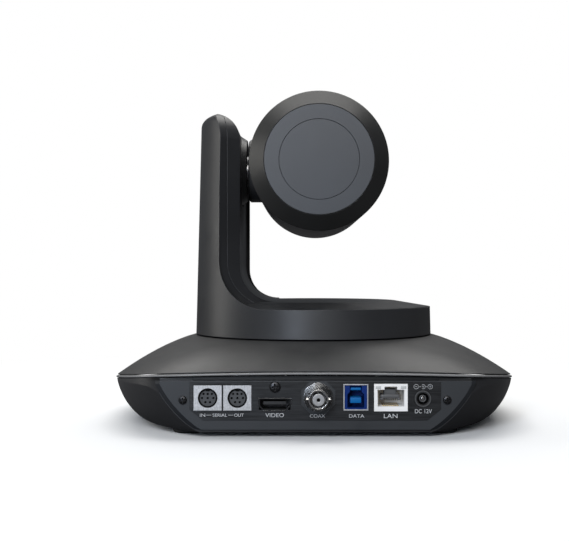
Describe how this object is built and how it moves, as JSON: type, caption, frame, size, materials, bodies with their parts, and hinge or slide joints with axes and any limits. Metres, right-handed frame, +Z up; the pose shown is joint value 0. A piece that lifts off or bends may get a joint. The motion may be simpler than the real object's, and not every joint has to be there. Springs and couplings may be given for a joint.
{
  "type": "ptz camera",
  "caption": "Desktop pan, tilt and zoom camera with a boat-shaped base, a one-armed turning yoke, a round tilting head and a rear connector panel.",
  "frame": {"origin": "on the table under the pan axis, at the centre of the box's underside", "axes": "+Z up; at rest the lens looks along -Y, the connector panel faces +Y and the arm stands at +X"},
  "size_m": [0.2175, 0.2044, 0.1744],
  "materials": {
    "housing": "satin charcoal plastic",
    "cap_face": "satin blue-grey plastic",
    "trim": "satin grey bead",
    "panel": "fine matt paint",
    "label": "dark brushed metal, white print",
    "infrared_filter": "dark glossy filter",
    "socket_shell": "brushed",
    "nickel": "bright nickel",
    "contact_gold": "gold flash",
    "socket_black": "matt",
    "socket_grey": "matt",
    "socket_blue": "satin",
    "insulator": "waxy white",
    "socket_white": "satin white",
    "black_screw": "black oxide",
    "rubber": "matt",
    "brass": "machined",
    "board": "green lacquer",
    "aluminium": "machined",
    "black_aluminium": "black anodised",
    "steel": "ground",
    "belt": "matt",
    "glass": "coated",
    "lens_black": "matt black"
  },
  "bodies": {
    "base": {"base_bottom_shell": "housing", "base_top_shell": "housing", "rim_trim": "trim", "rear_panel": "panel", "panel_label": "label", "infrared_window": "infrared_filter", "din_jack_shell_in": "socket_shell", "din_jack_shell_out": "socket_shell", "din_jack_insert_in": "socket_grey", "din_jack_insert_out": "socket_grey", "video_jack_shell": "socket_shell", "video_jack_tongue": "socket_black", "data_jack_shell": "socket_shell", "data_jack_insert": "socket_blue", "lan_jack_body": "socket_white", "lan_jack_contacts": "contact_gold", "coax_jack_body": "nickel", "coax_jack_insulator": "insulator", "coax_jack_contact": "contact_gold", "coax_jack_nut": "nickel", "power_jack_body": "socket_black", "power_jack_pin": "nickel", "panel_screws": "black_screw", "rubber_feet": "rubber", "tripod_nut": "brass", "plate_posts": "aluminium", "board_standoffs": "brass", "main_board": "board", "processor_heat_sink": "black_aluminium", "bearing_plate": "aluminium", "pan_bearing": "steel", "pan_motor": "steel", "pan_belt": "belt"},
    "pan_motor_rotor": {"pan_pinion": "steel"},
    "yoke": {"yoke_outer_shell": "housing", "yoke_inner_cover": "housing", "tilt_boss": "housing", "yoke_frame": "aluminium", "pan_shaft": "steel", "pan_pulley": "aluminium", "tilt_bearing": "steel", "tilt_motor": "steel", "tilt_belt": "belt"},
    "tilt_motor_rotor": {"tilt_pinion": "steel"},
    "head": {"tilt_shaft": "steel", "tilt_pulley": "aluminium", "tilt_hub": "housing", "barrel_shell": "housing", "rear_cap": "housing", "rear_cap_disc": "cap_face", "rear_cap_badge": "cap_face", "front_bezel": "housing", "front_window": "glass", "lens_barrel": "lens_black", "front_lens": "glass", "camera_block": "lens_black", "sensor_board": "board"},
    "zoom_group": {"zoom_lens_group": "lens_black"},
    "focus_group": {"focus_lens_group": "lens_black"}
  },
  "joints": [
    {"name": "pan", "type": "hinge", "parent": "base", "child": "yoke", "pos_m": [0, 0, 0.046], "axis": [0, 0, 1], "range_deg": [-170, 170]},
    {"name": "tilt", "type": "hinge", "parent": "yoke", "child": "head", "pos_m": [0, 0, 0.1382], "axis": [-1, 0, 0], "range_deg": [-30, 90]},
    {"name": "pan_motor_spin", "type": "hinge", "parent": "base", "child": "pan_motor_rotor", "pos_m": [0, -0.06, 0.04], "axis": [0, 0, 1], "range_deg": [-1362, 1362]},
    {"name": "tilt_motor_spin", "type": "hinge", "parent": "yoke", "child": "tilt_motor_rotor", "pos_m": [0.05, 0, 0.057], "axis": [-1, 0, 0], "range_deg": [-122, 362]},
    {"name": "zoom_slide", "type": "slide", "parent": "head", "child": "zoom_group", "axis": [0, -1, 0], "range_m": [-0.003, 0.01]},
    {"name": "focus_slide", "type": "slide", "parent": "head", "child": "focus_group", "axis": [0, -1, 0], "range_m": [-0.0005, 0.003]}
  ],
  "couplings": [
    {"joint": "pan_motor_spin", "follows": "pan", "ratio": 8},
    {"joint": "tilt_motor_spin", "follows": "tilt", "ratio": 4}
  ]
}
